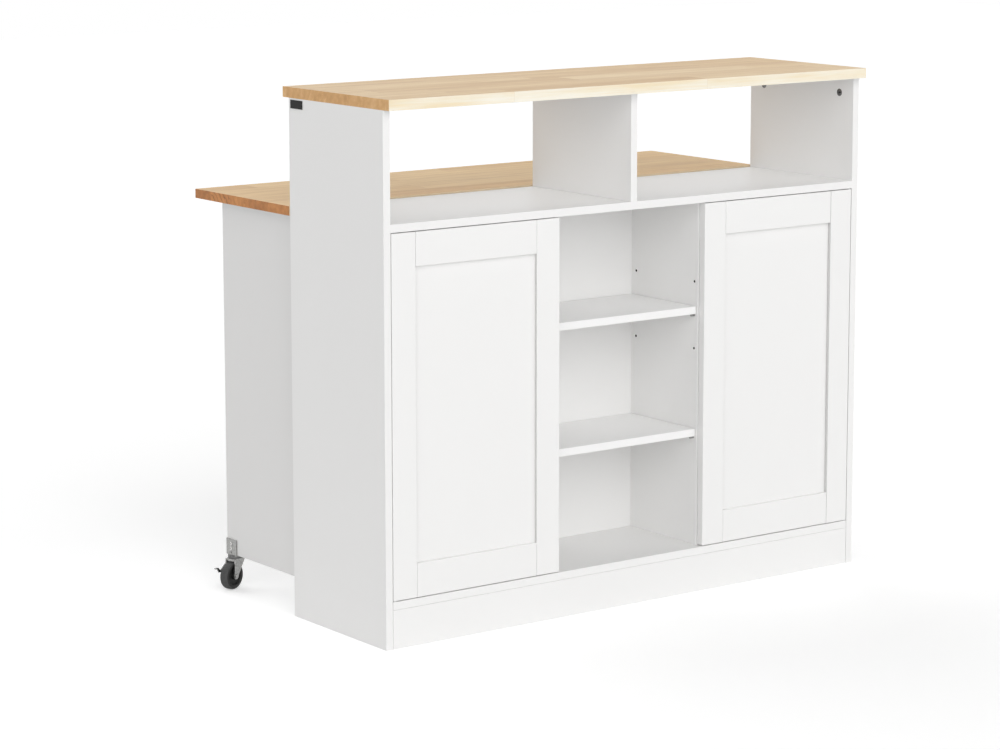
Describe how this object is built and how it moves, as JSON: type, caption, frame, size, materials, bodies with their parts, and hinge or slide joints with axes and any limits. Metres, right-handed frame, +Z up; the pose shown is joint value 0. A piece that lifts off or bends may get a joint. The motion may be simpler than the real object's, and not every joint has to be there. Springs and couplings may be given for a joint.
{
  "type": "kitchen island",
  "caption": "White bar-height kitchen island with wood tops, pass-through compartments, framed doors, niche shelves and a drop-leaf worktop on two gate legs with locking casters.",
  "frame": {"origin": "floor point under the middle of the whole island's box, worktop up and gates out", "axes": "+X along the width, to the right facing the doors; +Y from the doors to the worktop; +Z up"},
  "size_m": [1.1948, 0.676, 1.013],
  "materials": {
    "white_board": "satin white lacquered board",
    "oiled_wood": "edge-glued staves, satin",
    "zinc_steel": "zinc plated",
    "dark_zinc": "cast zinc",
    "black_wheel": "black nylon",
    "grey_plastic": "moulded",
    "black_tag": "plain, blank"
  },
  "bodies": {
    "cabinet": {"left_side_panel": "white_board", "right_side_panel": "white_board", "bar_top": "oiled_wood", "counter_shelf": "white_board", "upper_divider": "white_board", "bottom_board": "white_board", "plinth": "white_board", "left_divider": "white_board", "right_divider": "white_board", "back_panel": "white_board", "niche_upper_shelf": "white_board", "niche_lower_shelf": "white_board", "left_cupboard_shelf": "white_board", "right_cupboard_shelf": "white_board", "shelf_pins": "zinc_steel", "cam_locks": "dark_zinc", "cam_bolts": "zinc_steel", "blank_tag": "black_tag", "pivot_washers": "grey_plastic", "left_latch_housing": "grey_plastic", "right_latch_housing": "grey_plastic", "fixed_hinge_leaves": "zinc_steel", "hinge_pins": "zinc_steel", "cabinet_hinge_screws": "zinc_steel"},
    "left_door": {"left_door_hinge_stile": "white_board", "left_door_free_stile": "white_board", "left_door_top_rail": "white_board", "left_door_bottom_rail": "white_board", "left_door_panel": "white_board", "left_door_pivot_pins": "zinc_steel"},
    "left_plunger": {"left_latch_plunger": "grey_plastic"},
    "right_door": {"right_door_hinge_stile": "white_board", "right_door_free_stile": "white_board", "right_door_top_rail": "white_board", "right_door_bottom_rail": "white_board", "right_door_panel": "white_board", "right_door_pivot_pins": "zinc_steel"},
    "right_plunger": {"right_latch_plunger": "grey_plastic"},
    "worktop": {"worktop": "oiled_wood", "worktop_hinge_leaves": "zinc_steel", "worktop_hinge_screws": "zinc_steel"},
    "left_gate": {"left_gate_panel": "white_board", "left_gate_hinge_leaves": "zinc_steel", "left_gate_hinge_screws": "zinc_steel", "left_caster_screws": "zinc_steel", "left_caster_bracket": "zinc_steel"},
    "left_swivel": {"left_caster_fork": "zinc_steel", "left_caster_axle": "zinc_steel"},
    "left_wheel": {"left_caster_wheel": "black_wheel"},
    "left_pedal": {"left_brake_pedal": "zinc_steel"},
    "right_gate": {"right_gate_panel": "white_board", "right_gate_hinge_leaves": "zinc_steel", "right_gate_hinge_screws": "zinc_steel", "right_caster_screws": "zinc_steel", "right_caster_bracket": "zinc_steel"},
    "right_swivel": {"right_caster_fork": "zinc_steel", "right_caster_axle": "zinc_steel"},
    "right_wheel": {"right_caster_wheel": "black_wheel"},
    "right_pedal": {"right_brake_pedal": "zinc_steel"}
  },
  "joints": [
    {"name": "left_door_hinge", "type": "hinge", "parent": "cabinet", "child": "left_door", "pos_m": [-0.554, -0.314, 0.43], "axis": [0, 0, -1], "range_deg": [0, 105]},
    {"name": "left_latch_press", "type": "slide", "parent": "cabinet", "child": "left_plunger", "axis": [0, 1, 0], "range_m": [0, 0.0015], "stiffness_N_per_m": 600},
    {"name": "right_door_hinge", "type": "hinge", "parent": "cabinet", "child": "right_door", "pos_m": [0.554, -0.314, 0.43], "axis": [0, 0, 1], "range_deg": [0, 105]},
    {"name": "right_latch_press", "type": "slide", "parent": "cabinet", "child": "right_plunger", "axis": [0, 1, 0], "range_m": [0, 0.0015], "stiffness_N_per_m": 600},
    {"name": "worktop_lift", "type": "hinge", "parent": "cabinet", "child": "worktop", "pos_m": [0, -0.0055, 0.7685], "axis": [1, 0, 0], "range_deg": [0, 7]},
    {"name": "left_gate_swing", "type": "hinge", "parent": "cabinet", "child": "left_gate", "pos_m": [-0.5575, -0.063, 0.4], "axis": [0, 0, -1], "range_deg": [0, 90]},
    {"name": "left_swivel_turn", "type": "hinge", "parent": "left_gate", "child": "left_swivel", "pos_m": [-0.5475, 0.2515, 0.064], "axis": [0, 0, 1], "continuous": true},
    {"name": "left_wheel_spin", "type": "hinge", "parent": "left_swivel", "child": "left_wheel", "pos_m": [-0.56066, 0.24671, 0.027], "axis": [0.342, -0.9397, 0], "continuous": true},
    {"name": "left_brake_press", "type": "hinge", "parent": "left_swivel", "child": "left_pedal", "pos_m": [-0.55314, 0.24945, 0.0556], "axis": [0.342, -0.9397, 0], "range_deg": [0, 9]},
    {"name": "right_gate_swing", "type": "hinge", "parent": "cabinet", "child": "right_gate", "pos_m": [0.5575, -0.063, 0.4], "axis": [0, 0, 1], "range_deg": [0, 90]},
    {"name": "right_swivel_turn", "type": "hinge", "parent": "right_gate", "child": "right_swivel", "pos_m": [0.5475, 0.2515, 0.064], "axis": [0, 0, 1], "continuous": true},
    {"name": "right_wheel_spin", "type": "hinge", "parent": "right_swivel", "child": "right_wheel", "pos_m": [0.56066, 0.24671, 0.027], "axis": [0.342, 0.9397, 0], "continuous": true},
    {"name": "right_brake_press", "type": "hinge", "parent": "right_swivel", "child": "right_pedal", "pos_m": [0.55314, 0.24945, 0.0556], "axis": [0.342, 0.9397, 0], "range_deg": [0, 9]}
  ]
}
